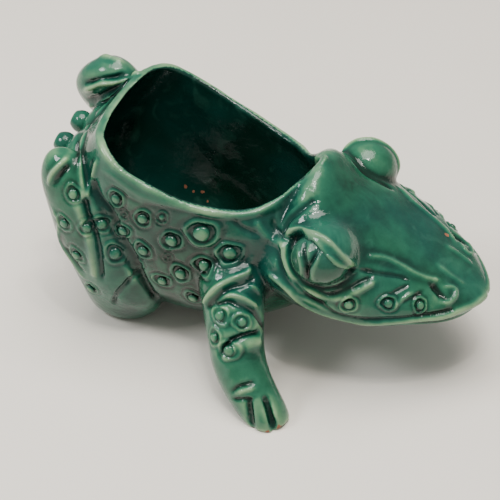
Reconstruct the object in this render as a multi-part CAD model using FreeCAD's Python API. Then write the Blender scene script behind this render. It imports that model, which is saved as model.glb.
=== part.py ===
"""Glazed earthenware planter in the shape of a crouching frog.

The back of the frog is open and forms the pot. The body, head, legs, eyeballs and the
applied clay pellets are formed apart and luted together with slip before firing, so each
is a solid of its own that meets its neighbour face to face. Nothing on it moves.

Millimetres. +Z is up, the snout points along -Y, and the frog is symmetric about X = 0.
The origin lies on the resting plane, at the middle of the frog's length.
A place is given as forward, side and height: forward runs towards the snout from the
belly's centre, side towards the frog's right.
"""

import FreeCAD
import Part

import math
import os

# Driving dimensions
SNOUT_TIP = 132.0
RUMP_TIP = -138.0
MIDDLE = (SNOUT_TIP + RUMP_TIP) / 2
WALL = 5.0
POT_FLOOR = 7.0
BELLY_HEIGHT = 13.0
OUTLINE_POINTS = 16
SECTION_POINTS = 14

# Trunk plan outlines: height, rear end, widest place, front end, half width,
# front exponent (over 1 narrows the shoulders), rear exponent (under 1 squares the rump)
TRUNK_LEVELS = [
    (BELLY_HEIGHT, -92, -36, 12, 30, 1.0, 0.9),
    (22, -103, -38, 26, 41, 1.0, 0.9),
    (42, -113, -42, 38, 51, 1.0, 0.85),
    (68, -118, -46, 44, 54, 1.0, 0.8),
    (90, -120, -50, 42, 53.5, 1.15, 0.75),
    (104, -116, -54, 36, 53, 1.6, 0.7),
    (118, -107, -57, 33, 53, 1.75, 0.68),
    (134, -96, -58, 31.5, 51, 1.8, 0.66),
    (160, -80, -58, 31.5, 47, 1.8, 0.66),
]
# Height of the pot's rim along the frog: high at the rump, low at the shoulders
RIM_LINE = [
    (-140, 128), (-97, 132.5), (-88, 134), (-74, 128), (-56, 119), (-33, 110),
    (-10, 104.5), (3, 104), (23, 115), (31.5, 122), (60, 142),
]

# Head sections: forward, underside, height of the widest place, crown, half width,
# crown exponent (over 1 makes a ridge along the middle)
HEAD_SECTIONS = [
    (7, 38, 72, 104, 42, 1.6),
    (20, 35, 73, 111, 50, 1.8),
    (31.5, 33, 72, 121, 54, 2.2),
    (47, 34, 68, 108, 55.5, 1.7),
    (62, 36, 62, 98, 54, 1.1),
    (76, 39, 57, 88.5, 50.5, 0.8),
    (90, 42, 54.5, 80.5, 45, 0.7),
    (104, 44, 52.5, 72.5, 38, 0.7),
    (116, 45, 51, 65.5, 30, 0.75),
    (125, 46, 50.5, 59.5, 20, 0.85),
    (130, 47.5, 50.5, 55.5, 11, 1.0),
    (SNOUT_TIP, 48.8, 50.5, 53, 5, 1.0),
]
HEAD_WALL = 7.0
HEAD_CAVITY_END = 100.0

# Brow domes and eyeballs: centre (forward, side, height) and radius
BROW_CENTRE, BROW_RADIUS = (46.5, 39.5, 89.7), 18.3
EYEBALL_CENTRE, EYEBALL_RADIUS = (48, 45.2, 89.3), 13.8

# Hind leg plan sections: height, forward, side, half length, half width
LOWER_HIND_LEG = [
    (0, -84, 33, 15, 9),
    (5, -84, 34.5, 20, 11.5),
    (12, -82.5, 36, 23.5, 13.5),
    (25, -80.5, 40, 26.5, 15),
    (40, -82.5, 43, 27, 15.5),
    (60, -90.5, 44, 26, 15.5),
    (80, -97, 44, 23.5, 15),
]
# The left haunch stands higher and further back than the right one
HAUNCHES = {
    1: [
        (96, -103, 43, 21, 14),
        (108, -107, 42, 17.5, 12),
        (117, -110, 41, 11, 8),
        (121, -111, 41, 4.5, 3.5),
    ],
    -1: [
        (94, -107.5, 42, 25, 14.5),
        (106, -112, 38, 26, 15),
        (117, -114.5, 35, 23, 14.5),
        (126, -114, 33.5, 18, 12.5),
        (133, -113, 33, 11, 8.5),
        (136, -112, 33, 4.5, 3.5),
    ],
}

# Front leg: centre (forward, side, height) and radius of each round section
FRONT_LEG_PATH = [
    ((-10, 36, 60), 20),
    ((-5, 50, 52), 19),
    ((0, 61, 42), 17),
    ((4.5, 70, 30), 16),
    ((12, 78, 17), 15),
    ((24, 86, 6), 13.5),
    ((33, 90, -6), 12),
]
# Grooves between the toes: upper and lower end of each, on the foot's surface
TOE_GROOVES = [((21, 95, 18), (25.5, 101.5, 1)), ((29, 91, 18), (38, 99, 1))]
TOE_GROOVE_RADIUS = 2.0

# Swells of the rump that carry the knobs
SWELL_CENTRE, SWELL_RADIUS = (-102.5, 13, 95), 22.0
# Rump knobs beside the midline
KNOB_CENTRE, KNOB_RADIUS = (-125, 11.5, 102), 7.0

# Applied pellets: forward and height on the flank, and the pellet's radius
FLANK_PELLETS = [
    (-58, 95.5, 3.6), (-41, 84, 4.2), (-23, 92, 5.5), (-7.5, 80.5, 4.5), (-58.5, 71.5, 3.6),
    (-22, 70, 4.0), (-36, 60, 4.0), (-48, 51, 3.5), (-30, 41, 3.5), (-74, 105, 3.5), (-71, 82, 3.2),
]
HIND_PELLETS = [
    (-84, 84.5, 3.5), (-76.5, 65.5, 4.0), (-99.5, 102.5, 3.2), (-91.5, 82.5, 3.2),
    (-105.5, 82, 3.2), (-99, 60.5, 3.2), (-94, 32.5, 3.2),
]
FRONT_LEG_PELLETS = [(-4, 53.5, 3.2), (-5, 42.5, 3.2), (8, 52, 3.2), (5, 39, 3.4)]
CHEEK_PELLETS = [(65, 67, 3.0), (85, 67, 3.0), (101, 63.5, 2.8)]
PELLET_BITE = 0.45

FAR_SIDE = 120.0


def place(forward, side, height):
    return FreeCAD.Vector(-side, MIDDLE - forward, height)


def closed_spline(points):
    curve = Part.BSplineCurve()
    curve.interpolate(points, PeriodicFlag=True)
    return Part.Wire([curve.toShape()])


def powered(value, exponent):
    return math.copysign(abs(value) ** exponent, value)


def plan_outline(level, inset=0.0):
    """One egg-shaped plan outline of the trunk, moved in by inset."""
    height, rear, widest, front, half_width, front_power, rear_power = level
    points = []
    for i in range(OUTLINE_POINTS):
        angle = 2 * math.pi * i / OUTLINE_POINTS
        c, s = math.cos(angle), math.sin(angle)
        if c >= 0:
            forward = widest + (front - inset - widest) * c
            side = (half_width - inset) * powered(s, front_power)
        else:
            forward = widest + (widest - rear - inset) * powered(c, rear_power)
            side = (half_width - inset) * powered(s, rear_power)
        points.append(place(forward, side, height))
    return closed_spline(points)


def trunk_outer():
    return Part.makeLoft([plan_outline(level) for level in TRUNK_LEVELS], True)


def trunk_inner():
    """The pot's cavity: the outline moved in by the wall, from the pot's floor up."""
    levels = [list(level) for level in TRUNK_LEVELS]
    levels[0][0] += POT_FLOOR
    levels[1][0] += POT_FLOOR - 1
    levels[2][0] += 2
    levels[-1][0] += 8
    return Part.makeLoft([plan_outline(level, WALL) for level in levels], True)


def above_rim():
    """Everything above the rim line, as one wide block with a curved underside."""
    curve = Part.BSplineCurve()
    curve.interpolate([place(forward, FAR_SIDE, height) for forward, height in RIM_LINE])
    first, last = RIM_LINE[0][0], RIM_LINE[-1][0]
    top = 220
    edges = [
        curve.toShape(),
        Part.makeLine(place(last, FAR_SIDE, RIM_LINE[-1][1]), place(last, FAR_SIDE, top)),
        Part.makeLine(place(last, FAR_SIDE, top), place(first, FAR_SIDE, top)),
        Part.makeLine(place(first, FAR_SIDE, top), place(first, FAR_SIDE, RIM_LINE[0][1])),
    ]
    face = Part.Face(Part.Wire(edges))
    return face.extrude(FreeCAD.Vector(2 * FAR_SIDE, 0, 0))


def head_section(section, inset=0.0):
    """One cross-section of the head: a low dome over a shallower jaw."""
    forward, underside, widest, crown, half_width, crown_power = section
    points = []
    for i in range(SECTION_POINTS):
        angle = 2 * math.pi * i / SECTION_POINTS
        c, s = math.cos(angle), math.sin(angle)
        side = (half_width - inset) * powered(c, 0.9)
        if s > 0:
            height = widest + (crown - inset - widest) * s**crown_power
        else:
            height = widest + (widest - underside - inset) * s
        points.append(place(forward, side, height))
    return closed_spline(points)


def head_outer():
    return Part.makeLoft([head_section(s) for s in HEAD_SECTIONS], True)


def head_inner():
    """The hollow of the cast head, open to the pot through the neck."""
    kept = [s for s in HEAD_SECTIONS if s[0] < HEAD_CAVITY_END]
    return Part.makeLoft([head_section(s, HEAD_WALL) for s in kept], True)


def ball(centre, radius, side_sign):
    """A sphere whose seam faces the middle of the frog, away from the cuts made in it."""
    forward, side, height = centre
    sphere = Part.makeSphere(radius)
    if side_sign < 0:
        sphere.rotate(FreeCAD.Vector(0, 0, 0), FreeCAD.Vector(0, 0, 1), 180)
    sphere.translate(place(forward, side * side_sign, height))
    return sphere


def hind_leg(side_sign):
    """Folded thigh and shin as one limb, from the knee on the ground to the heel."""
    wires = []
    for height, forward, side, half_length, half_width in LOWER_HIND_LEG + HAUNCHES[side_sign]:
        points = []
        for i in range(SECTION_POINTS):
            angle = 2 * math.pi * i / SECTION_POINTS
            points.append(
                place(
                    forward + half_length * math.cos(angle),
                    side_sign * (side + half_width * math.sin(angle)),
                    height,
                )
            )
        wires.append(closed_spline(points))
    return Part.makeLoft(wires, True)


def front_leg(side_sign):
    """A bowed leg of round sections whose foot is flat on the ground."""
    centres = [place(f, s * side_sign, h) for (f, s, h), _ in FRONT_LEG_PATH]
    wires = []
    for i, (_, radius) in enumerate(FRONT_LEG_PATH):
        before, after = centres[max(i - 1, 0)], centres[min(i + 1, len(centres) - 1)]
        ring = Part.Circle(centres[i], after - before, radius)
        wires.append(Part.Wire([ring.toShape()]))
    leg = Part.makeLoft(wires, True)
    below = Part.makeBox(400, 400, 60, FreeCAD.Vector(-200, -200, -60))
    leg = leg.cut(below)
    for upper, lower in TOE_GROOVES:
        start = place(upper[0], upper[1] * side_sign, upper[2])
        run = place(lower[0], lower[1] * side_sign, lower[2]) - start
        leg = leg.cut(Part.makeCylinder(TOE_GROOVE_RADIUS, 1.3 * run.Length, start, run))
    return leg


def on_surface(shape, forward, height, side_sign):
    """The outermost point of a shape on a line straight across the frog."""
    line = Part.makeLine(
        place(forward, 0, height), place(forward, side_sign * FAR_SIDE, height)
    )
    inside = shape.common(line)
    points = [v.Point for v in inside.Vertexes]
    return max(points, key=lambda p: abs(p.x))


def pellets(shape, spots, side_sign):
    """Flattened balls of clay pressed onto a shape, cut back to its surface."""
    made = []
    for forward, height, radius in spots:
        at = on_surface(shape, forward, height, side_sign)
        pressed = Part.makeSphere(radius, at - FreeCAD.Vector(-side_sign * radius * PELLET_BITE, 0, 0))
        made.append(pressed.cut(shape))
    return Part.makeCompound([solid for piece in made for solid in piece.Solids])


def main():
    os.makedirs("parts", exist_ok=True)
    pieces = {}

    trunk_blank = trunk_outer()
    for sign in (1, -1):
        trunk_blank = trunk_blank.fuse(ball(SWELL_CENTRE, SWELL_RADIUS, sign))
    head_blank = head_outer()
    head_hollow = head_inner()
    for sign in (1, -1):
        brow = ball(BROW_CENTRE, BROW_RADIUS, sign)
        head_blank = head_blank.fuse(brow)
        head_hollow = head_hollow.cut(brow)
    eyeballs = {
        name: ball(EYEBALL_CENTRE, EYEBALL_RADIUS, sign)
        for name, sign in (("right_eyeball", 1), ("left_eyeball", -1))
    }
    body = trunk_blank.cut(above_rim())
    trunk = body.cut(trunk_inner()).cut(head_hollow)
    head = head_blank.cut(head_hollow).cut(trunk_blank)
    for eyeball in eyeballs.values():
        head = head.cut(eyeball)
    pieces["trunk_pot"] = trunk
    pieces["head"] = head
    pieces.update(eyeballs)

    for name, sign in (("right", 1), ("left", -1)):
        hind = hind_leg(sign).cut(body)
        front = front_leg(sign).cut(trunk_blank).cut(head_blank)
        knob = ball(KNOB_CENTRE, KNOB_RADIUS, sign)
        pieces[f"{name}_hind_leg"] = hind
        pieces[f"{name}_front_leg"] = front
        pieces[f"{name}_rump_knob"] = knob.cut(trunk_blank)
        pieces[f"{name}_flank_pellets"] = pellets(trunk_blank, FLANK_PELLETS, sign)
        pieces[f"{name}_hind_leg_pellets"] = pellets(hind_leg(sign), HIND_PELLETS, sign)
        pieces[f"{name}_front_leg_pellets"] = pellets(front_leg(sign), FRONT_LEG_PELLETS, sign)
        pieces[f"{name}_cheek_pellets"] = pellets(head_blank, CHEEK_PELLETS, sign)

    for name, shape in pieces.items():
        print(name, "solids", len(shape.Solids), "volume", round(shape.Volume), "valid", shape.isValid())
        shape.exportStep(f"parts/{name}.step")


main()
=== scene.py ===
"""The looks of the glazed earthenware frog planter, sculpted round its CAD frame.

The six big CAD nodes and the eyeballs are joined into one blank, remeshed, and modelled like clay:
soft fillets first, then folds, lips, lids, creases and ringed warts as strokes on the surface. The
modelled skin is then cut back into one closed piece for each of the six big nodes. Eyeballs, rump
knobs and pellets are shaped one by one. Strokes are given in millimetres as (forward, side,
height), as in the CAD source, with forward towards the snout.

Most points in BOTH_SIDES, and some in LEFT_SIDE, EYE_OPENING, PUPIL and CHIPS, were not chosen by
hand: a measuring program projected marks read off the photograph onto the CAD surface, and its
output was rounded, in places moved by hand, and typed in. The camera comes from a fitting program.
"""

import math

import bmesh
import bpy
import numpy as np
from mathutils import Matrix, Vector, kdtree


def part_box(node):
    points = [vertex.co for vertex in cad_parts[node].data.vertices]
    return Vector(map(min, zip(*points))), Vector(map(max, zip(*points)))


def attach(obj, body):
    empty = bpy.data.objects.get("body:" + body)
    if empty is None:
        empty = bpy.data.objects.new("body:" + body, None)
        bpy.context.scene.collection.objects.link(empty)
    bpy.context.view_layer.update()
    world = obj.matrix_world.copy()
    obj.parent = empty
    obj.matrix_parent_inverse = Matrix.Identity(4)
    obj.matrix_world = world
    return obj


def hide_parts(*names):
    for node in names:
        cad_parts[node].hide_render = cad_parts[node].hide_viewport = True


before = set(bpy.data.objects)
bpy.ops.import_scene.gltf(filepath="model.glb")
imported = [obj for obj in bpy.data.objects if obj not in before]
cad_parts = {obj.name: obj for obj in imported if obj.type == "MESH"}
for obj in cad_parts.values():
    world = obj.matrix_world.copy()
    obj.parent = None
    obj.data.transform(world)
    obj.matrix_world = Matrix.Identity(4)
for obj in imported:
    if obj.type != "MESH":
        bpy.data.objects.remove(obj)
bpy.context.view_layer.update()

MM = 0.001
MIDDLE_MM = -3.0
VOXEL = 0.95 * MM
REGION_VOXEL = 2.0 * MM
REGION_MARGIN = 3.0 * MM
REGION_ROUNDS = 3
BODY_NODES = [
    "trunk_pot", "head", "right_hind_leg", "left_hind_leg", "right_front_leg", "left_front_leg",
]
EYEBALL_NODES = ["right_eyeball", "left_eyeball"]
KNOB_NODES = ["right_rump_knob", "left_rump_knob"]
PELLET_NODES = [
    f"{side}_{place}_pellets"
    for side in ("right", "left")
    for place in ("flank", "hind_leg", "front_leg", "cheek")
]

# Strokes on both sides of the frog: height of the relief (negative cuts in), half width, points
BOTH_SIDES = [
    # rim: a rounded band above a fine groove
    (-0.5, 1.5, [(-77, 52, 114), (-59, 53, 106), (-39, 51, 106), (-17, 46, 101), (0, 38, 99),
                 (14, 29, 101), (26, 25, 108)]),
    (0.6, 2.0, [(-84, 52, 122), (-74, 53, 120), (-58, 53, 112), (-38, 51, 108), (-17, 46, 104),
                (0, 38, 102), (14, 28, 106), (26, 24, 113)]),
    # neck
    (-1.9, 2.2, [(35, 23, 112), (30, 28, 109), (22, 32, 100), (21, 36, 95), (23, 39, 93)]),
    (1.6, 2.3, [(4, 37, 99), (10, 38, 91), (16, 38, 88), (24, 42, 89), (25, 46, 84), (32, 50, 78),
                (36, 52, 76)]),
    (-1.4, 1.4, [(-7, 42, 100), (-2, 42, 96), (7, 40, 91)]),
    (-1.6, 1.5, [(13, 32, 98), (15, 34, 94), (22, 39, 92)]),
    (1.6, 3.2, [(19, 47, 79), (21, 47, 79)]),
    # shoulder folds and the top of the front leg
    (2.4, 2.0, [(-18, 66, 53), (-14, 65, 60), (-9, 62, 66), (-2, 57, 70), (4, 50, 71),
                (5, 45, 77)]),
    (-1.8, 1.8, [(-15, 68, 53), (-8, 66, 62), (-2, 62, 67), (5, 56, 67), (9, 49, 68)]),
    (2.2, 1.8, [(-4, 65, 63), (1, 64, 64), (7, 62, 61), (13, 60, 55)]),
    (1.6, 1.6, [(6, 55, 66), (12, 53, 62), (17, 50, 56)]),
    (-2.4, 1.6, [(-9, 69, 57), (-2, 67, 61), (4, 66, 59), (12, 63, 54), (17, 61, 45), (18, 58, 38)]),
    (-2.6, 1.6, [(0, 84, 35), (2, 82, 41), (6, 79, 45), (12, 74, 46), (18, 66, 43)]),
    (1.6, 3.0, [(5, 83, 36), (8, 80, 40), (14, 75, 40), (19, 68, 38)]),
    # wrist and toes
    (-1.5, 1.3, [(9, 95, 17), (13, 93, 22), (17, 91, 24), (22, 88, 25)]),
    (1.2, 1.5, [(14, 94, 19), (18, 92, 21), (23, 90, 22)]),
    (-1.4, 1.2, [(11, 95, 14), (16, 95, 16), (21, 94, 17), (29, 89, 17)]),
    (-0.9, 1.6, [(21, 95, 16), (23, 98, 9), (24, 101, 2)]),
    (-0.9, 1.6, [(30, 90, 16), (34, 93, 9), (38, 96, 2)]),
    (0.8, 1.6, [(25, 93, 16), (28, 97, 8), (31, 99, 2)]),
    # brow and eyelids
    (2.0, 1.7, [(20, 39, 92), (24, 37, 96), (30, 38, 101), (37, 43, 105.5), (44.6, 46, 107),
                (52, 48, 104), (58, 49, 99), (63, 47, 93), (68, 42, 86)]),
    (1.9, 1.9, [(22, 41, 90), (26, 46, 83), (30, 50, 77), (37, 53, 73), (44, 54, 72), (52, 54, 73),
                (59, 53, 77), (65, 49, 82), (70, 41, 84)]),
    (1.7, 1.7, [(44, 54, 71), (52, 53, 69), (60, 52, 70), (66, 49, 73), (72, 45, 76), (76, 41, 78)]),
    (-1.6, 1.1, [(46, 54, 73), (54, 53, 72.5), (62, 51, 76), (69, 45, 79), (73, 41, 80)]),
    (-1.7, 1.2, [(20, 44, 87), (24, 48, 79), (29, 51, 73), (36, 54, 69.5), (44, 55, 67.5), (52, 55, 66)]),
    (-1.6, 1.2, [(64, 46, 87), (69, 41, 84), (74, 37, 83)]),
    # lips
    (1.5, 1.9, [(16, 48, 72), (24, 52, 71), (31, 55, 68), (40, 54, 61), (54, 53, 56), (68, 51, 53),
                (85, 47, 55), (101, 40, 56), (112, 33, 55), (121, 24, 55), (129, 12, 53), (132, 0, 51)]),
    (-1.5, 1.2, [(32, 52, 76), (42, 55, 70), (52, 55, 64), (60, 54, 59), (73, 51, 58), (89, 46, 58),
                 (104, 38, 58), (119, 26, 57)]),
    (-1.3, 1.0, [(20, 50, 68), (31, 54, 64), (40, 54, 57), (54, 53, 52), (68, 51, 49), (85, 47, 51),
                 (101, 40, 52), (112, 33, 51), (121, 24, 51), (129, 12, 49), (132, 0, 48)]),
    # ridge from the eye to the nostril, the nostril and its curl
    (1.3, 1.8, [(69, 32, 87), (77, 27, 84), (86, 25, 80), (95, 24, 75), (103, 21, 71), (107, 18, 69)]),
    (-1.4, 1.3, [(68, 40, 83), (76, 37, 81), (82, 34, 79), (88, 31, 77), (92, 30, 75)]),
    (-2.6, 2.2, [(104, 23, 69), (108, 24, 67), (112, 25, 63)]),
    (1.3, 1.4, [(111, 19, 66), (116, 16, 64), (118, 19, 62), (116, 25, 61), (112, 28, 62)]),
    (1.1, 1.3, [(88, 45, 65), (92, 40, 68), (96, 34, 70)]),
    (-1.2, 1.1, [(86, 41, 72), (93, 32, 73)]),
    (-1.2, 1.1, [(92, 41, 67), (101, 30, 69)]),
    (0.8, 1.6, [(104, 9, 72), (114, 10, 66), (120, 9, 62)]),
    # hind leg: front edge, the crease down the thigh, and the knee
    (-2.6, 2.0, [(-89, 48, 112), (-85, 50, 102), (-77, 52, 92), (-72, 52, 79), (-64, 53, 61),
                 (-59, 50, 42), (-56, 47, 30)]),
    (1.3, 2.2, [(-90, 52, 103), (-84, 55, 92), (-78, 56, 79), (-71, 56, 62), (-65, 54, 46)]),
    (-2.6, 1.6, [(-93, 53, 101), (-90, 56, 91), (-85, 58, 75), (-84, 59, 60), (-84, 59, 47)]),
    (1.2, 2.4, [(-98, 55, 98), (-94, 58, 88), (-90, 59, 72), (-89, 60, 58), (-89, 60, 46)]),
    (-2.2, 1.5, [(-62, 52, 54), (-66, 55, 50), (-70, 56, 45), (-76, 57, 36), (-80, 55, 24)]),
    (1.4, 3.0, [(-76, 57, 34), (-77, 57, 31)]),
    (1.2, 1.6, [(-113, 55, 88), (-110, 57, 80), (-112, 54, 64), (-105, 56, 50), (-98, 57, 41)]),
    (-1.2, 1.3, [(-108, 56, 62), (-102, 57, 53), (-96, 57, 47)]),
    # rump: the folds between the rim and the haunch
    (2.4, 1.7, [(-112, 3, 115), (-110, 12, 117), (-107, 20, 118), (-103, 32, 118), (-98, 45, 116),
                (-95, 51, 109), (-93, 54, 100)]),
    (-2.0, 1.5, [(-113, 10, 112), (-111, 22, 112), (-107, 34, 111), (-103, 43, 108)]),
    (1.9, 1.5, [(-86, 47, 125), (-88, 48, 117), (-91, 49, 108), (-92, 53, 101)]),
    (-1.8, 1.6, [(-91, 46, 124), (-93, 48, 117), (-93, 50, 110)]),
    (2.2, 1.7, [(-106, 45, 121), (-108, 48, 118), (-112, 51, 113), (-115, 53, 106)]),
    (-1.6, 1.5, [(-104, 48, 118), (-107, 51, 114), (-111, 54, 107)]),
]
# Strokes on the raised left haunch, whose side is negative
LEFT_SIDE = [
    (2.2, 1.8, [(-92, -29, 134), (-104, -24, 128), (-115, -20, 126), (-122, -21, 121), (-129, -27, 114)]),
    (-2.2, 1.6, [(-95, -30, 136), (-105, -25, 131), (-115, -21, 129), (-123, -23, 124), (-130, -29, 118)]),
    (2.2, 1.8, [(-97, -29, 131), (-104, -22, 123), (-113, -20, 115), (-120, -21, 108), (-126, -27, 104)]),
    (-1.8, 1.6, [(-103, -25, 126), (-112, -20, 120), (-120, -21, 114), (-127, -27, 109)]),
    (2.0, 2.0, [(-92, -33, 135), (-103, -33, 137), (-114, -34, 137), (-122, -37, 131)]),
    (-1.6, 1.6, [(36, -26, 108), (48, -22, 103), (58, -22, 99), (66, -25, 91)]),
]
# Where the crown is filled out level with the right brow, and how many times it is gone over
LEVEL_CENTRE = (51, 27, 102)
LEVEL_RADIUS = 29.0
LEVEL_PASSES = 45
LEVEL_SOFTENING = 70
# Smoothing rounds in one pass, and how steeply the filling fades towards its edge
LEVEL_ROUNDS, LEVEL_FADE = 12, 1.6
# Strokes: spacing of the points along one, its reach in half widths, and how its ends thin out
STROKE_SPACING, STROKE_REACH = 0.8, 3
TAPER_POINTS, TAPER_START = 4.0, 0.35
# Skin points measured against a stroke at one time, which bounds the memory used
CHUNK = 20000
# Rings round a pellet, from the inside out: place and width, times its radius, and relief
GROOVE_BAND, GROOVE_DEPTH = (1.15, 0.34), 1.15
RING_BAND, RING_RISE = (1.75, 0.21), 0.85
DIP_BAND, DIP_DEPTH = (2.3, 0.33), 0.6
# Modelled rings with no pellet in them: centre and ball radius
BARE_WARTS = [
    (-46, 53, 99, 2.2), (-70, 54, 94, 1.8), (-62, 55, 60, 1.8), (-43, 55, 71, 1.7), (-8, 52, 95, 1.6),
]
# How far the bare clay of such a ring rises, and its width, times the ball radius
WART_RISE, WART_WIDTH = 1.1, 0.8
RING_STRENGTH = {"flank": 1.0, "hind_leg": 0.7, "front_leg": 0.65, "cheek": 1.0}
# How softly a chip ends, and the edges that are kept hard where a piece was cut
CHIP_EDGE = 1.6
BURIED_DEPTH, SHARP_COSINE = 0.6 * VOXEL, 0.75
# Places where the glaze has chipped off the red clay: centre and radius
CHIPS = [
    (43, 41, 109, 1.9), (102, -18, 72, 1.4), (40, 96, 1.5, 1.8), (34, 100, 0.5, 1.4), (41, -96, 1, 1.6),
    (-72, -42, 43, 1.3), (-67, -43, 40, 1.0), (-61, -43, 41, 1.5), (-57, -41, 36, 0.9),
    (-58, -44, 44, 0.8),
]

# Softening of the blank: rounds and weight all over, then at sharp places only
BLANK_ROUNDS, BLANK_WEIGHT = 4, 0.6
FILLET_ROUNDS, FILLET_WEIGHT = 14, 0.7
# How a place counts as sharp: the bend it must pass, the gain over that, and how far it spreads
FLAT_BEND, SHARP_GAIN, SHARP_SPREAD = 0.05, 9, 3
# Below this height a foot keeps its flat sole
SOLE_HEIGHT = 1.2 * MM
NORMAL_ROUNDS = 6
# The most that a place is raised or cut, and the height over which relief fades in above the ground
RELIEF_LIMIT = 2.8
GROUND_FADE = 5.0

# The pot's cavity and the head's hollow: the span of their core line, forward and up, and their reach
CORE_FORWARD, CORE_HEIGHT = (-82, 12), (45, 110)
CAVITY_HALF_WIDTH, CAVITY_FLOOR, CAVITY_FRONT = 51, 16, 97
# The rear wall's place, and the height above which it leans forward, and by how much
REAR_WALL, LEAN_START, REAR_LEAN = -113.5, 104, 0.73
# Forward of the first and above the second lie the solid brows
BROW_REAR, BROW_UNDERSIDE = 24, 97
# How much of the hand's unevenness the inner walls keep
INNER_WAVES = 1.5

# Eye opening, as (forward, height) round its edge
EYE_OPENING = [
    (25, 94), (29, 98.5), (35, 102.5), (42, 104), (48.5, 101.5), (55, 96.5), (61, 90.5), (65, 85),
    (60, 82), (53, 78.5), (44.5, 77), (37, 78.5), (31, 83), (27, 88),
]
OPENING_SPACING = 0.5
# How far round the opening its depth is worked out, and what counts as far outside it
OPENING_SEARCH, FAR_OUTSIDE = 8, -99.0
# How deep the opening is cut into the ball at least and over it at most, and its edge's softness
EYE_CUT, DEEPEST_CUT, OPENING_EDGE = 1.1, 4.5, 1.2
# How thick the lid over the ball is, and how far out it fades
LID_COVER, LID_WIDTH = 0.9, 5.0
# How near the middle the opening reaches, on the right and on the left
OPENING_REACH = (36, 47)
# Eyeball: how proud of its CAD ball it stands, and the cuts and ridges of its slit pupil
EYE_PROUD = 0.1
EYE_SHIFT = np.array((0, 2.6, -0.3)) * MM
EYE_STRETCH = np.array((1.0, 1.2, 1.0))
PUPIL = [
    (-2.4, 1.1, [(36.5, 0, 101), (40, 0, 96), (42, 0, 91), (42, 0, 83)]),
    (-1.8, 1.0, [(46, 0, 101), (44.5, 0, 97), (42, 0, 91)]),
    (0.9, 1.3, [(40, 0, 102), (42, 0, 97)]),
    (0.7, 1.4, [(48, 0, 100), (46, 0, 93), (45, 0, 84)]),
    (0.7, 1.4, [(34, 0, 98), (38, 0, 92), (38.5, 0, 84)]),
]
KNOB_RADIUS = 7.0 * MM
# A knob's pit and the lip round it, on a unit ball: place, then relief in millimetres and width
KNOB_PIT = np.array((0.0, 0.94, 0.34))
PIT_DEPTH, PIT_WIDTH = 1.7, 0.42
LIP_RISE, LIP_PLACE, LIP_WIDTH = 0.4, 0.62, 0.2
# Pellets: spread over the skin and rise above it, each times the CAD ball's footprint radius
PELLET_SPREAD = 0.98
PELLET_RISE = 0.62
# How oval a pellet is, how far each is turned from the last, and how uneven it is
PELLET_OVAL, PELLET_TURN, PELLET_WAVE = (1.05, 0.97), 2.4, 0.05
# How hollow a pellet's waist counts as for the glaze, and how much less its crown does
WAIST_HOLLOW, CROWN_LESS = 0.75, 1.5

# How wide the surface is smoothed to tell hollow from high, and the limit of the result
HOLLOW_ROUNDS, HOLLOW_LIMIT = 26, 2
# How hollow a gently rounded place counts as, so that it takes the middle green
HOLLOW_SHIFT = 0.16
# How dark the inner walls are made, as painted shade of the pot's cavity with the glaze a little darker
# there, and what is added on the flanks
INNER_DARKER_GLAZE_AND_SHADE = 0.75
FLANK_HOLLOW = 0.24
# Glaze colours from high relief to deep recess; the inner walls take the dark end as painted shade
GLAZE_STOPS = [
    (0.0, (0.250, 0.400, 0.210)), (0.16, (0.110, 0.255, 0.130)), (0.34, (0.022, 0.125, 0.068)),
    (0.47, (0.009, 0.080, 0.043)), (0.62, (0.003, 0.026, 0.015)), (1.0, (0.0006, 0.005, 0.003)),
]
EYE_STOPS = [
    (0.0, (0.140, 0.280, 0.160)), (0.35, (0.024, 0.105, 0.060)), (0.6, (0.008, 0.048, 0.030)),
    (1.0, (0.0008, 0.006, 0.004)),
]
TEAL = (0.006, 0.090, 0.072)
BLOOM = (0.060, 0.200, 0.135)
SPECK = (0.010, 0.045, 0.030)
CLAY = (0.28, 0.105, 0.055)

WORLD_COLOUR, WORLD_STRENGTH = (0.86, 0.85, 0.84, 1), 0.46
LIGHT_TARGET = (0, 0, 0.05)
# Lights: name, place, size, power and colour
LIGHTS = [
    ("window", (-0.45, 0.85, 1.0), (0.5, 0.3), 10, (0.98, 0.99, 1.0)),
    ("overhead", (0.1, 0.0, 1.6), (1.1, 1.1), 31, (1.0, 0.96, 0.90)),
    ("lamp_a", (-0.28, -0.18, 1.25), (0.035, 0.035), 1.3, (1.0, 0.97, 0.92)),
    ("lamp_b", (-0.16, -0.24, 1.25), (0.035, 0.035), 1.3, (1.0, 0.97, 0.92)),
    ("lamp_c", (-0.22, -0.08, 1.25), (0.035, 0.035), 1.3, (1.0, 0.97, 0.92)),
]
FLOOR_HALF_SIZE, FLOOR_GAP = 3.0, 0.0004
FLOOR_STOPS = [(0.3, (0.82, 0.775, 0.70)), (0.7, (0.86, 0.815, 0.74))]
CAMERA_PLACE, CAMERA_TARGET = (-0.6419, -0.2300, 0.6372), (0, 0.010, 0.0415)
CAMERA_ROLL = math.radians(-0.5)
LENS_MM, SENSOR_MM = 108, 36


# ---------- meshes as arrays ----------

def arrays(mesh):
    """Vertex positions and triangles of a mesh."""
    co = np.empty(len(mesh.vertices) * 3)
    mesh.vertices.foreach_get("co", co)
    mesh.calc_loop_triangles()
    tri = np.empty(len(mesh.loop_triangles) * 3, dtype=np.int64)
    mesh.loop_triangles.foreach_get("vertices", tri)
    return co.reshape(-1, 3), tri.reshape(-1, 3)


def edge_pairs(mesh):
    pairs = np.empty(len(mesh.edges) * 2, dtype=np.int64)
    mesh.edges.foreach_get("vertices", pairs)
    return pairs.reshape(-1, 2)


def normals_of(mesh):
    values = np.empty(len(mesh.vertices) * 3)
    mesh.vertex_normals.foreach_get("vector", values)
    return values.reshape(-1, 3)


def neighbour_counts(pairs, count):
    return np.bincount(pairs.ravel(), minlength=count).astype(float)


def move_to(mesh, points):
    mesh.vertices.foreach_set("co", points.ravel())
    mesh.update()


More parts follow.
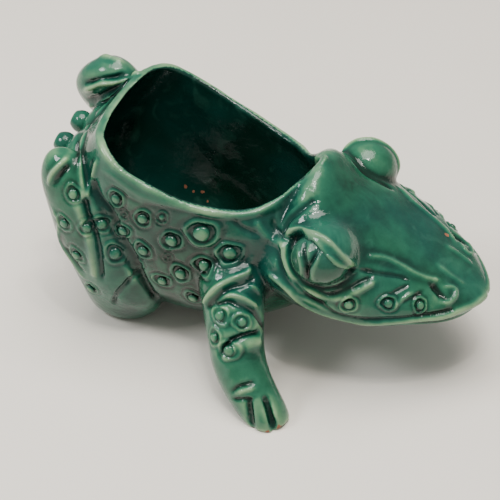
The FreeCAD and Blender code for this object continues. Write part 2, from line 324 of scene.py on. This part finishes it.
def write_attribute(mesh, name, values):
    layer = mesh.attributes.new(name, "FLOAT", "POINT")
    layer.data.foreach_set("value", values.astype(np.float32))


def make_object(name, mesh):
    obj = bpy.data.objects.new(name, mesh)
    bpy.context.scene.collection.objects.link(obj)
    return obj


def mesh_from(name, points, faces):
    mesh = bpy.data.meshes.new(name)
    mesh.from_pydata(points.tolist(), [], faces.tolist() if hasattr(faces, "tolist") else faces)
    mesh.update()
    return mesh


def applied(obj):
    """The mesh that an object's modifiers give, as a new mesh. The object is removed."""
    depsgraph = bpy.context.evaluated_depsgraph_get()
    mesh = bpy.data.meshes.new_from_object(obj.evaluated_get(depsgraph))
    bpy.data.objects.remove(obj)
    return mesh


def remeshed(nodes, voxel):
    """One closed skin round several CAD nodes."""
    points, faces, start = [], [], 0
    for node in nodes:
        co, tri = arrays(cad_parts[node].data)
        points.append(co)
        faces.append(tri + start)
        start += len(co)
    obj = make_object("blank", mesh_from("blank", np.concatenate(points), np.concatenate(faces)))
    modifier = obj.modifiers.new("skin", "REMESH")
    modifier.mode = "VOXEL"
    modifier.voxel_size = voxel
    return largest_part(applied(obj))


def part_labels(count, pairs):
    """A label for each vertex that is the same all over one connected part."""
    label = np.arange(count)
    while True:
        low = np.minimum(label[pairs[:, 0]], label[pairs[:, 1]])
        new = label.copy()
        np.minimum.at(new, pairs[:, 0], low)
        np.minimum.at(new, pairs[:, 1], low)
        new = new[new]
        if np.array_equal(new, label):
            return label
        label = new


def largest_part(mesh):
    pairs = edge_pairs(mesh)
    label = part_labels(len(mesh.vertices), pairs)
    names, counts = np.unique(label, return_counts=True)
    if len(names) == 1:
        return mesh
    keep = label == names[np.argmax(counts)]
    index = np.cumsum(keep) - 1
    co, _ = arrays(mesh)
    loops = np.empty(len(mesh.loops), dtype=np.int64)
    mesh.loops.foreach_get("vertex_index", loops)
    quads = loops.reshape(-1, 4)
    return mesh_from(mesh.name, co[keep], index[quads[keep[quads[:, 0]]]])


def neighbour_mean(values, pairs, degree):
    a, b = pairs[:, 0], pairs[:, 1]
    columns = []
    for column in values.reshape(len(values), -1).T:
        total = np.bincount(a, column[b], len(values)) + np.bincount(b, column[a], len(values))
        columns.append(total / degree)
    return np.stack(columns, axis=1).reshape(values.shape)


def relax(values, pairs, degree, rounds, weight=1.0):
    for _ in range(rounds):
        values = values + weight * (neighbour_mean(values, pairs, degree) - values)
    return values


def soft_normals(mesh, pairs, degree, rounds):
    """Vertex normals evened out over their neighbours."""
    normals = relax(normals_of(mesh), pairs, degree, rounds)
    return normals / np.linalg.norm(normals, axis=1)[:, None]


# ---------- clay work ----------

def to_frog(points):
    """Row frame in metres to (forward, side, height) in millimetres."""
    x, y, z = points.T / MM
    return np.stack([MIDDLE_MM - y, -x, z], axis=1)


def band(distance, place, width):
    """1 at one distance, falling off smoothly to either side of it."""
    return np.exp(-(((distance - place) / width) ** 2))


def smooth_curve(points, spacing=STROKE_SPACING):
    """Points about one spacing apart on a smooth line through the given ones."""
    p = np.array(points, float)
    p = np.vstack([2 * p[0] - p[1], p, 2 * p[-1] - p[-2]])
    made = []
    for i in range(1, len(p) - 2):
        steps = max(2, int(np.linalg.norm(p[i + 1] - p[i]) / spacing))
        t = np.linspace(0, 1, steps, endpoint=False)[:, None]
        a, b, c, d = p[i - 1], p[i], p[i + 1], p[i + 2]
        made.append(0.5 * (2 * b + (c - a) * t + (2 * a - 5 * b + 4 * c - d) * t**2
                           + (3 * b - a - 3 * c + d) * t**3))
    made.append(p[-2][None])
    return np.concatenate(made)


def stroke_relief(places, height, width, points):
    """Relief of one modelling stroke, which thins out towards its ends."""
    line = smooth_curve(points)
    reach = STROKE_REACH * width
    near = np.all((places > line.min(0) - reach) & (places < line.max(0) + reach), axis=1)
    index = np.nonzero(near)[0]
    relief = np.zeros(len(places))
    from_end = np.minimum(np.arange(len(line)), np.arange(len(line))[::-1])
    taper = np.clip(from_end / TAPER_POINTS + TAPER_START, 0, 1)
    for part in np.array_split(index, max(1, len(index) // CHUNK)):
        if not len(part):
            continue
        distance = np.linalg.norm(places[part][:, None] - line[None], axis=2)
        nearest = distance.argmin(1)
        relief[part] = height * taper[nearest] * band(distance.min(1), 0, width)
    return relief


def ring_relief(places, centre, radius, strength=1.0):
    """A groove round a pellet, a thin ring round that and a dip outside, a little out of true."""
    offset = places - centre
    turn = np.arctan2(offset[:, 2], offset[:, 0])
    start = centre[0] + 0.3 * centre[2]
    distance = np.linalg.norm(offset, axis=1) / radius
    distance *= (
        1 + 0.10 * np.sin(2 * turn + start) + 0.05 * np.sin(3 * turn - 2 * start)
        + 0.03 * np.cos(5 * turn)
    )
    groove = band(distance, *GROOVE_BAND)
    ring = band(distance, *RING_BAND) * (0.8 + 0.2 * np.sin(turn + start))
    dip = band(distance, *DIP_BAND)
    return strength * (-GROOVE_DEPTH * groove + RING_RISE * ring - DIP_DEPTH * dip)


def hand_waves(places):
    """The slow unevenness of a hand-made surface."""
    f, s, z = places.T
    return 0.16 * (
        np.sin(0.21 * f + 0.13 * z) * np.cos(0.17 * s - 0.1 * z)
        + np.sin(0.11 * f - 0.19 * s + 0.4) * np.cos(0.23 * z + 0.3)
    )


def inside_opening(places):
    """How far each place lies inside the eye opening, in millimetres, less than 0 outside it."""
    edge = smooth_curve(EYE_OPENING + EYE_OPENING[:1], OPENING_SPACING)
    flat = places[:, [0, 2]]
    depth = np.full(len(places), FAR_OUTSIDE)
    low, high = edge.min(0) - OPENING_SEARCH, edge.max(0) + OPENING_SEARCH
    near = np.all((flat > low) & (flat < high), axis=1)
    near &= (places[:, 1] > OPENING_REACH[0]) | (places[:, 1] < -OPENING_REACH[1])
    own = flat[near]
    distance = np.linalg.norm(own[:, None] - edge[None], axis=2).min(1)
    turns = np.zeros(len(own), dtype=bool)
    for (f0, h0), (f1, h1) in zip(edge, np.roll(edge, -1, axis=0)):
        if h0 == h1:
            continue
        crosses = (h0 > own[:, 1]) != (h1 > own[:, 1])
        turns ^= crosses & (own[:, 0] < (f1 - f0) * (own[:, 1] - h0) / (h1 - h0) + f0)
    depth[near] = np.where(turns, distance, -distance)
    return depth


def eye_shape(node):
    """Centre and radii of a modelled eyeball: its CAD ball, longer and set back a little."""
    low, high = (np.array(corner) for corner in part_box(node))
    return (low + high) / 2 + EYE_SHIFT, (high - low) / 2 * EYE_STRETCH


def facing_in(places, normals):
    """True on the wall of the pot and of the head's hollow."""
    f, s, z = places.T
    core = np.stack([np.clip(f, *CORE_FORWARD), 0 * s, np.clip(z, *CORE_HEIGHT)], axis=1)
    outward = normals[:, [1, 0, 2]] * (-1, -1, 1)
    facing = np.einsum("ij,ij->i", places - core, outward) < 0
    rear_wall = REAR_WALL + REAR_LEAN * np.maximum(z - LEAN_START, 0)
    within = (np.abs(s) < CAVITY_HALF_WIDTH) & (f > rear_wall) & (f < CAVITY_FRONT)
    off_brows = (z < BROW_UNDERSIDE) | (f < BROW_REAR)
    return facing & within & (z > CAVITY_FLOOR) & off_brows


def level_brow(points, normals, pairs):
    """Fills the valley between the right brow and the crown, without taking anything off."""
    places = to_frog(points)
    reach = np.linalg.norm(places - LEVEL_CENTRE, axis=1) / LEVEL_RADIUS
    chosen = reach < 1
    index = np.cumsum(chosen) - 1
    own_pairs = index[pairs[chosen[pairs[:, 0]] & chosen[pairs[:, 1]]]]
    own = points[chosen]
    degree = np.maximum(neighbour_counts(own_pairs, len(own)), 1)
    weight = np.clip(LEVEL_FADE * (1 - reach[chosen]), 0, 1)[:, None]
    filled = own
    for _ in range(LEVEL_PASSES):
        smooth = relax(filled, own_pairs, degree, LEVEL_ROUNDS, weight)
        rise = np.einsum("ij,ij->i", smooth - filled, normals[chosen])
        filled = filled + normals[chosen] * np.maximum(rise, 0)[:, None]
    made = points.copy()
    made[chosen] = relax(filled, own_pairs, degree, LEVEL_SOFTENING, weight)
    return made


def pellet_seats(tree, points, normals):
    """Where each pellet of each pellet node sits: point, outward normal and radius, in metres."""
    seats = {}
    for node in PELLET_NODES:
        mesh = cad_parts[node].data
        co, tri = arrays(mesh)
        corners, index = np.unique(np.round(co, 6), axis=0, return_inverse=True)
        tri = index.reshape(-1)[tri]
        label = part_labels(len(corners), np.concatenate([tri[:, :2], tri[:, 1:]]))
        seats[node] = []
        for name in np.unique(label):
            own = corners[label == name]
            size = own.max(0) - own.min(0)
            radius = 0.5 * max(size[1], size[2])
            _, nearest, _ = tree.find(Vector((own.max(0) + own.min(0)) / 2))
            seats[node].append((points[nearest], normals[nearest], radius))
    return seats


def tree_of(points):
    tree = kdtree.KDTree(len(points))
    for i, point in enumerate(points.tolist()):
        tree.insert(point, i)
    tree.balance()
    return tree


def softened(points, pairs, degree):
    """The blank with its sharp edges and corners rounded, except on the ground."""
    points = relax(points, pairs, degree, BLANK_ROUNDS, BLANK_WEIGHT)
    bend = np.linalg.norm(neighbour_mean(points, pairs, degree) - points, axis=1) / VOXEL
    sharp = np.clip((bend - FLAT_BEND) * SHARP_GAIN, 0, 1)
    for _ in range(SHARP_SPREAD):
        sharp = np.maximum(sharp, neighbour_mean(sharp, pairs, degree))
    sharp[points[:, 2] < SOLE_HEIGHT] = 0
    return relax(points, pairs, degree, FILLET_ROUNDS, FILLET_WEIGHT * sharp[:, None])


def modelled_relief(places, mirrored, seats):
    """Relief of the strokes, of the rings round the pellets and of the bare warts."""
    relief = hand_waves(places)
    for stroke in BOTH_SIDES:
        relief += stroke_relief(mirrored, *stroke)
    for stroke in LEFT_SIDE:
        relief += stroke_relief(places, *stroke)
    for node, rows in seats.items():
        strength = next(value for name, value in RING_STRENGTH.items() if name in node)
        for point, _, radius in rows:
            relief += ring_relief(places, to_frog(point[None])[0], radius / MM, strength)
    for forward, side, height, radius in BARE_WARTS:
        centre = np.array((forward, side, height))
        distance = np.linalg.norm(mirrored - centre, axis=1)
        relief += ring_relief(mirrored, centre, radius)
        relief += WART_RISE * band(distance, 0, WART_WIDTH * radius)
    return np.clip(relief, -RELIEF_LIMIT, RELIEF_LIMIT)


def with_eyes_open(relief, points, places):
    """The relief with a lid laid over each eyeball and the opening cut down into it."""
    depth = inside_opening(places)
    cut = np.zeros(len(places))
    for node in EYEBALL_NODES:
        centre, radii = eye_shape(node)
        own = np.sign(points[:, 0]) == np.sign(centre[0])
        above = (np.linalg.norm((points - centre) / radii, axis=1) - 1) * radii[0] / MM
        cut[own] = np.clip(above + EYE_CUT, EYE_CUT, DEEPEST_CUT)[own]
        lid = np.clip(1 + depth / LID_WIDTH, 0, 1) * own * (depth < 1)
        thin = (lid > 0) & (above + relief < LID_COVER)
        relief = np.where(thin, LID_COVER * lid + relief * (1 - lid), relief)
    return relief + (-cut - relief) * np.clip(0.5 + depth / OPENING_EDGE, 0, 1)


def fade(values, start, width):
    """0 up to start, rising to 1 over the width."""
    return np.clip((values - start) / width, 0, 1)


def on_flank(mirrored):
    """1 on the sides of the belly, fading to 0 towards the legs, the rim and the middle."""
    f, s, z = mirrored.T
    along = fade(f, -88, 10) * fade(-f, -20, 12) * fade(-z, -106, 12)
    return along * (fade(s, 36, 8) * fade(-s, -60, 4))


def hollowness(mesh, points, pairs, degree, mirrored, inner):
    """How far each place lies below the smoothed surface, which sets the glaze's colour; the inner walls
    get a dark value, mostly painted shade.
    """
    wide = relax(points, pairs, degree, HOLLOW_ROUNDS)
    hollow = np.einsum("ij,ij->i", wide - points, normals_of(mesh)) / MM
    hollow = relax(hollow, pairs, degree, 1, 0.5) + HOLLOW_SHIFT
    hollow += FLANK_HOLLOW * relax(on_flank(mirrored), pairs, degree, 4)
    # The inner walls painted dark: mostly painted shade of the pot's cavity, the glaze only a little
    # darker there
    hollow[inner] = INNER_DARKER_GLAZE_AND_SHADE
    return np.clip(hollow, -HOLLOW_LIMIT, HOLLOW_LIMIT)


def sculpt():
    """The whole body as one modelled skin, how hollow it is with painted shade on the inner walls, and the
    seats of its pellets.
    """
    mesh = remeshed(BODY_NODES + EYEBALL_NODES, VOXEL)
    points, _ = arrays(mesh)
    pairs = edge_pairs(mesh)
    degree = neighbour_counts(pairs, len(points))

    points = softened(points, pairs, degree)
    move_to(mesh, points)
    points = level_brow(points, soft_normals(mesh, pairs, degree, NORMAL_ROUNDS), pairs)
    move_to(mesh, points)
    normals = soft_normals(mesh, pairs, degree, NORMAL_ROUNDS)

    seats = pellet_seats(tree_of(points), points, normals)
    places = to_frog(points)
    mirrored = places * (1, 0, 1) + np.abs(places) * (0, 1, 0)
    relief = modelled_relief(places, mirrored, seats)
    relief = with_eyes_open(relief, points, places)
    inner = facing_in(places, normals)
    relief[inner] = (INNER_WAVES * hand_waves(places))[inner]
    relief *= np.clip(places[:, 2] / GROUND_FADE, 0, 1)
    points = points + normals * (relief * MM)[:, None]
    points[:, 2] = np.maximum(points[:, 2], 0)
    move_to(mesh, points)
    return mesh, points, hollowness(mesh, points, pairs, degree, mirrored, inner), seats


# ---------- cutting the skin into pieces ----------

def region(nodes):
    """A closed block a little bigger than some CAD nodes, to cut their piece out of the skin."""
    mesh = remeshed(nodes, REGION_VOXEL)
    points, _ = arrays(mesh)
    pairs = edge_pairs(mesh)
    degree = neighbour_counts(pairs, len(points))
    points = relax(points, pairs, degree, REGION_ROUNDS, BLANK_WEIGHT)
    normals = soft_normals(mesh, pairs, degree, REGION_ROUNDS)
    move_to(mesh, points + normals * REGION_MARGIN)
    return mesh


def boolean(mesh, operation, cutter):
    obj = make_object("work", mesh.copy())
    tool = make_object("tool", cutter)
    modifier = obj.modifiers.new("cut", "BOOLEAN")
    modifier.operation = operation
    modifier.solver = "MANIFOLD"
    modifier.object = tool
    result = applied(obj)
    bpy.data.objects.remove(tool)
    return result


def cleaned(mesh):
    """A cut piece without loose crumbs, its many-sided faces split from their centres."""
    label = part_labels(len(mesh.vertices), edge_pairs(mesh))
    names, counts = np.unique(label, return_counts=True)
    crumb = label != names[np.argmax(counts)]
    bm = bmesh.new()
    bm.from_mesh(mesh)
    bm.verts.ensure_lookup_table()
    bmesh.ops.delete(bm, geom=[bm.verts[i] for i in np.nonzero(crumb)[0].tolist()], context="VERTS")
    bmesh.ops.poke(bm, faces=[face for face in bm.faces if len(face.verts) > 4])
    bmesh.ops.triangulate(bm, faces=bm.faces[:], quad_method="SHORT_EDGE")
    bm.to_mesh(mesh)
    bm.free()
    return mesh


def paint(mesh, tree, hollow):
    """Writes what the glaze needs to know on a piece: how hollow it is, chips and cut faces."""
    points, _ = arrays(mesh)
    found = [tree.find(point) for point in points.tolist()]
    index = np.array([row[1] for row in found])
    away = np.array([row[2] for row in found])
    places = to_frog(points)
    chip = np.zeros(len(points))
    for forward, side, height, radius in CHIPS:
        distance = np.linalg.norm(places - (forward, side, height), axis=1)
        chip = np.maximum(chip, np.clip(CHIP_EDGE - distance / radius, 0, 1))
    write_attribute(mesh, "hollow", hollow[index])
    write_attribute(mesh, "chip", chip)
    shade(mesh, away > BURIED_DEPTH)


def shade(mesh, buried=None):
    """Smooth shading, with a hard edge only where a piece was cut."""
    mesh.polygons.foreach_set("use_smooth", np.ones(len(mesh.polygons), dtype=bool))
    if buried is None or not buried.any():
        return
    mesh.update()
    loops = np.empty(len(mesh.loops), dtype=np.int64)
    mesh.loops.foreach_get("edge_index", loops)
    face_normals = np.empty(len(mesh.polygons) * 3)
    mesh.polygon_normals.foreach_get("vector", face_normals)
    face_normals = face_normals.reshape(-1, 3)
    owner = np.repeat(np.arange(len(mesh.polygons)), [p.loop_total for p in mesh.polygons])
    order = np.argsort(loops, kind="stable")
    first = np.searchsorted(loops[order], np.arange(len(mesh.edges)))
    a, b = owner[order[first]], owner[order[np.minimum(first + 1, len(order) - 1)]]
    cosine = np.einsum("ij,ij->i", face_normals[a], face_normals[b])
    pairs = edge_pairs(mesh)
    rough = np.zeros(len(mesh.vertices), dtype=bool)
    rough[pairs[buried[pairs[:, 0]] | buried[pairs[:, 1]]].ravel()] = True
    sharp = (cosine < SHARP_COSINE) & rough[pairs[:, 0]] & rough[pairs[:, 1]]
    layer = mesh.attributes.get("sharp_edge") or mesh.attributes.new("sharp_edge", "BOOLEAN", "EDGE")
    layer.data.foreach_set("value", sharp)


def cut_up(skin):
    """The skin cut into one closed mesh for each body node, legs first."""
    legs = [node for node in BODY_NODES if node.endswith("_leg")]
    made = {}
    rest = skin
    for nodes in [[leg] for leg in legs] + [["head"] + EYEBALL_NODES]:
        block = region(nodes)
        made[nodes[0]] = boolean(rest, "INTERSECT", block.copy())
        rest = boolean(rest, "DIFFERENCE", block)
    made["trunk_pot"] = rest
    return made


# ---------- balls of clay ----------

def ball_points(level):
    """Points and faces of a unit ball."""
    mesh = bpy.data.meshes.new("ball")
    bm = bmesh.new()
    bmesh.ops.create_icosphere(bm, subdivisions=level, radius=1.0)
    bm.to_mesh(mesh)
    bm.free()
    return arrays(mesh)


def eyeball(node):
    """A bulging eyeball with a slit pupil."""
    centre, radii = eye_shape(node)
    unit, faces = ball_points(6)
    points = centre + unit * radii
    places = to_frog(points) * (1, 0, 1)
    outer = np.clip(unit[:, 0] * np.sign(centre[0]) * 3, 0, 1)
    relief = np.full(len(points), EYE_PROUD)
    for stroke in PUPIL:
        relief += outer * stroke_relief(places, *stroke)
    hollow = np.clip(-(relief - EYE_PROUD) * 1.2, -1, 1.5)
    return mesh_from(node, points + unit * (relief * MM)[:, None], faces), hollow


def knob(node):
    """A rump knob: a ball with a thumbed pit in its rear."""
    low, high = (np.array(corner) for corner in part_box(node))
    centre = np.array(((low + high)[0] / 2, high[1] - KNOB_RADIUS, (low + high)[2] / 2))
    unit, faces = ball_points(5)
    points = centre + unit * KNOB_RADIUS
    distance = np.linalg.norm(unit - KNOB_PIT, axis=1)
    pit = band(distance, 0, PIT_WIDTH)
    lip = band(distance, LIP_PLACE, LIP_WIDTH)
    relief = (-PIT_DEPTH * pit + LIP_RISE * lip) * MM
    return mesh_from(node, points + unit * relief[:, None], faces), 1.2 * pit - 0.5 * lip


def pellets(node, seats):
    """Flattened, slightly uneven balls of clay pressed onto the skin."""
    unit, faces = ball_points(4)
    all_points, all_faces, hollow = [], [], []
    for number, (point, normal, radius) in enumerate(seats):
        across = np.cross(normal, (0, 0, 1))
        across /= np.linalg.norm(across)
        along = np.cross(normal, across)
        turn = PELLET_TURN * number
        a = across * math.cos(turn) + along * math.sin(turn)
        b = along * math.cos(turn) - across * math.sin(turn)
        wave = 1 + PELLET_WAVE * np.sin(3 * unit[:, 0] + number) * np.cos(2 * unit[:, 1] - number)
        shape = (
            unit[:, :1] * a * PELLET_SPREAD * PELLET_OVAL[0]
            + unit[:, 1:2] * b * PELLET_SPREAD * PELLET_OVAL[1]
            + unit[:, 2:] * normal * PELLET_RISE
        )
        all_faces.append(faces + number * len(unit))
        all_points.append(point + shape * radius * wave[:, None])
        hollow.append(np.clip(WAIST_HOLLOW - CROWN_LESS * unit[:, 2], -0.6, 1.0))
    return mesh_from(node, np.concatenate(all_points), np.concatenate(all_faces)), np.concatenate(hollow)


# ---------- the glaze ----------

def node_of(tree, kind, **values):
    node = tree.nodes.new(kind)
    for name, value in values.items():
        setattr(node, name, value)
    return node


def ramp(tree, stops, source):
    node = node_of(tree, "ShaderNodeValToRGB")
    elements = node.color_ramp.elements
    for element, (position, colour) in zip(elements, (stops[0], stops[-1])):
        element.position = position
        element.color = (*colour, 1)
    for position, colour in stops[1:-1]:
        elements.new(position).color = (*colour, 1)
    tree.links.new(source, node.inputs["Fac"])
    return node.outputs["Color"]


def noise(tree, vector, scale, detail=3.0, distortion=0.0):
    node = node_of(tree, "ShaderNodeTexNoise")
    node.inputs["Scale"].default_value = scale
    node.inputs["Detail"].default_value = detail
    node.inputs["Distortion"].default_value = distortion
    tree.links.new(vector, node.inputs["Vector"])
    return node.outputs["Fac"]


def maths(tree, operation, *sources):
    node = node_of(tree, "ShaderNodeMath", operation=operation)
    for socket, source in zip(node.inputs, sources):
        if isinstance(source, (int, float)):
            socket.default_value = source
        else:
            tree.links.new(source, socket)
    return node.outputs["Value"]


def mapped(tree, source, low, high, to_low=0.0, to_high=1.0):
    node = node_of(tree, "ShaderNodeMapRange")
    for name, value in (("From Min", low), ("From Max", high), ("To Min", to_low), ("To Max", to_high)):
        node.inputs[name].default_value = value
    tree.links.new(source, node.inputs["Value"])
    return node.outputs["Result"]


def mix(tree, factor, first, second):
    node = node_of(tree, "ShaderNodeMix", data_type="RGBA")
    for socket, source in zip((node.inputs[0], node.inputs[6], node.inputs[7]), (factor, first, second)):
        if isinstance(source, (int, float)):
            socket.default_value = source
        elif isinstance(source, tuple):
            socket.default_value = (*source, 1)
        else:
            tree.links.new(source, socket)
    return node.outputs[2]


def attribute(tree, name):
    node = node_of(tree, "ShaderNodeAttribute", attribute_name=name)
    return node.outputs["Fac"]


def centred(tree, source, strength):
    """A noise from 0 to 1 moved to lie about 0, times its strength."""
    return maths(tree, "MULTIPLY", maths(tree, "SUBTRACT", source, 0.5), strength)


def glaze(name, stops, mottle):
    """Runny copper-green glaze: dark where it pools, pale where it breaks over high relief, and near black
    on the inner walls as painted shade.
    """
    material = bpy.data.materials.new(name)
    material.use_nodes = True
    tree = material.node_tree
    shader = tree.nodes["Principled BSDF"]
    place = node_of(tree, "ShaderNodeTexCoord").outputs["Object"]
    hollow = attribute(tree, "hollow")
    cloud = noise(tree, place, scale=38, detail=4, distortion=0.6)
    streak = noise(tree, place, scale=140, detail=3, distortion=0.3)
    depth = maths(tree, "ADD", hollow, centred(tree, cloud, mottle))
    depth = maths(tree, "ADD", depth, centred(tree, streak, 0.5))
    colour = ramp(tree, stops, mapped(tree, depth, -1.1, 1.3))
    patch = mapped(tree, noise(tree, place, scale=17, detail=2), 0.42, 0.64)
    colour = mix(tree, maths(tree, "MULTIPLY", patch, 0.45), colour, TEAL)
    bloom = mapped(tree, noise(tree, place, scale=55, detail=4, distortion=1.2), 0.55, 0.8)
    colour = mix(tree, maths(tree, "MULTIPLY", bloom, 0.30), colour, BLOOM)
    speck = mapped(tree, noise(tree, place, scale=900, detail=1), 0.68, 0.76)
    colour = mix(tree, maths(tree, "MULTIPLY", speck, 0.35), colour, SPECK)
    ragged = centred(tree, noise(tree, place, scale=650, detail=3), 1.6)
    chip_edge = maths(tree, "ADD", attribute(tree, "chip"), ragged)
    bare = mapped(tree, chip_edge, 0.55, 0.7)
    colour = mix(tree, bare, colour, CLAY)
    tree.links.new(colour, shader.inputs["Base Color"])
    gloss = mapped(tree, noise(tree, place, scale=60, detail=3), 0.3, 0.75, 0.09, 0.19)
    rough = maths(tree, "MAXIMUM", gloss, maths(tree, "MULTIPLY", bare, 0.75))
    tree.links.new(rough, shader.inputs["Roughness"])
    shader.inputs["IOR"].default_value = 1.42
    shader.inputs["Coat Weight"].default_value = 0.12
    shader.inputs["Coat Roughness"].default_value = 0.04
    bump = node_of(tree, "ShaderNodeBump")
    bump.inputs["Strength"].default_value = 0.5
    bump.inputs["Distance"].default_value = 0.0006
    grain = maths(tree, "MULTIPLY", noise(tree, place, scale=700, detail=2), 0.25)
    ripple = maths(tree, "ADD", noise(tree, place, scale=210, detail=2), grain)
    tree.links.new(ripple, bump.inputs["Height"])
    tree.links.new(bump.outputs["Normal"], shader.inputs["Normal"])
    tree.links.new(bump.outputs["Normal"], shader.inputs["Coat Normal"])
    return material


def table_top():
    """Plain pale floor, not part of the frog."""
    size = FLOOR_HALF_SIZE
    corners = np.array([(-size, -size, 0), (size, -size, 0), (size, size, 0), (-size, size, 0)])
    corners[:, 2] -= FLOOR_GAP
    floor = make_object("floor", mesh_from("floor", corners, [(0, 1, 2, 3)]))
    material = bpy.data.materials.new("pale_floor")
    material.use_nodes = True
    tree = material.node_tree
    shader = tree.nodes["Principled BSDF"]
    place = node_of(tree, "ShaderNodeTexCoord").outputs["Object"]
    cloud = noise(tree, place, scale=3, detail=3)
    colour = ramp(tree, FLOOR_STOPS, cloud)
    tree.links.new(colour, shader.inputs["Base Color"])
    shader.inputs["Roughness"].default_value = 0.42
    floor.data.materials.append(material)


def area_light(name, place, size, power, colour):
    data = bpy.data.lights.new(name, "AREA")
    data.shape = "RECTANGLE"
    data.size, data.size_y = size
    data.energy = power
    data.color = colour
    light = bpy.data.objects.new(name, data)
    bpy.context.scene.collection.objects.link(light)
    light.location = place
    aim = Vector(LIGHT_TARGET) - Vector(place)
    light.rotation_euler = aim.to_track_quat("-Z", "Y").to_euler()


def studio():
    world = bpy.data.worlds.new("studio")
    world.use_nodes = True
    background = world.node_tree.nodes["Background"]
    background.inputs["Color"].default_value = WORLD_COLOUR
    background.inputs["Strength"].default_value = WORLD_STRENGTH
    bpy.context.scene.world = world
    for light in LIGHTS:
        area_light(*light)


def camera():
    """A camera above the frog's right shoulder, slightly rolled."""
    data = bpy.data.cameras.new("camera")
    data.lens = LENS_MM
    data.sensor_width = SENSOR_MM
    obj = bpy.data.objects.new("camera", data)
    bpy.context.scene.collection.objects.link(obj)
    place = Vector(CAMERA_PLACE)
    back = (place - Vector(CAMERA_TARGET)).normalized()
    right = Vector((0, 0, 1)).cross(back).normalized()
    up = back.cross(right)
    turned = right * math.cos(CAMERA_ROLL) + up * math.sin(CAMERA_ROLL)
    up = back.cross(turned)
    matrix = Matrix((turned, up, back)).transposed().to_4x4()
    matrix.translation = place
    obj.matrix_world = matrix
    bpy.context.scene.camera = obj


def main():
    green = glaze("green_glaze", GLAZE_STOPS, 1.25)
    eye_green = glaze("eye_glaze", EYE_STOPS, 0.5)
    skin, points, hollow, seats = sculpt()
    tree = tree_of(points)
    pieces = cut_up(skin)
    finished = {}
    for node in EYEBALL_NODES:
        mesh, eye_hollow = eyeball(node)
        pieces["head"] = boolean(pieces["head"], "DIFFERENCE", mesh.copy())
        finished[node] = (mesh, eye_hollow)
    for node in KNOB_NODES:
        finished[node] = knob(node)
    for node in PELLET_NODES:
        finished[node] = pellets(node, seats[node])
    for mesh in pieces.values():
        paint(cleaned(mesh), tree, hollow)
    for node, (mesh, values) in finished.items():
        write_attribute(mesh, "hollow", values)
        shade(mesh)
        pieces[node] = mesh
    for node, mesh in pieces.items():
        eye = node in EYEBALL_NODES
        mesh.materials.clear()
        mesh.materials.append(eye_green if eye else green)
        piece = make_object(f"glazed_{node}", mesh)
        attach(piece, "root")
        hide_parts(node)
        print("piece", node, len(mesh.vertices), len(mesh.polygons))
    table_top()
    studio()
    camera()


main()
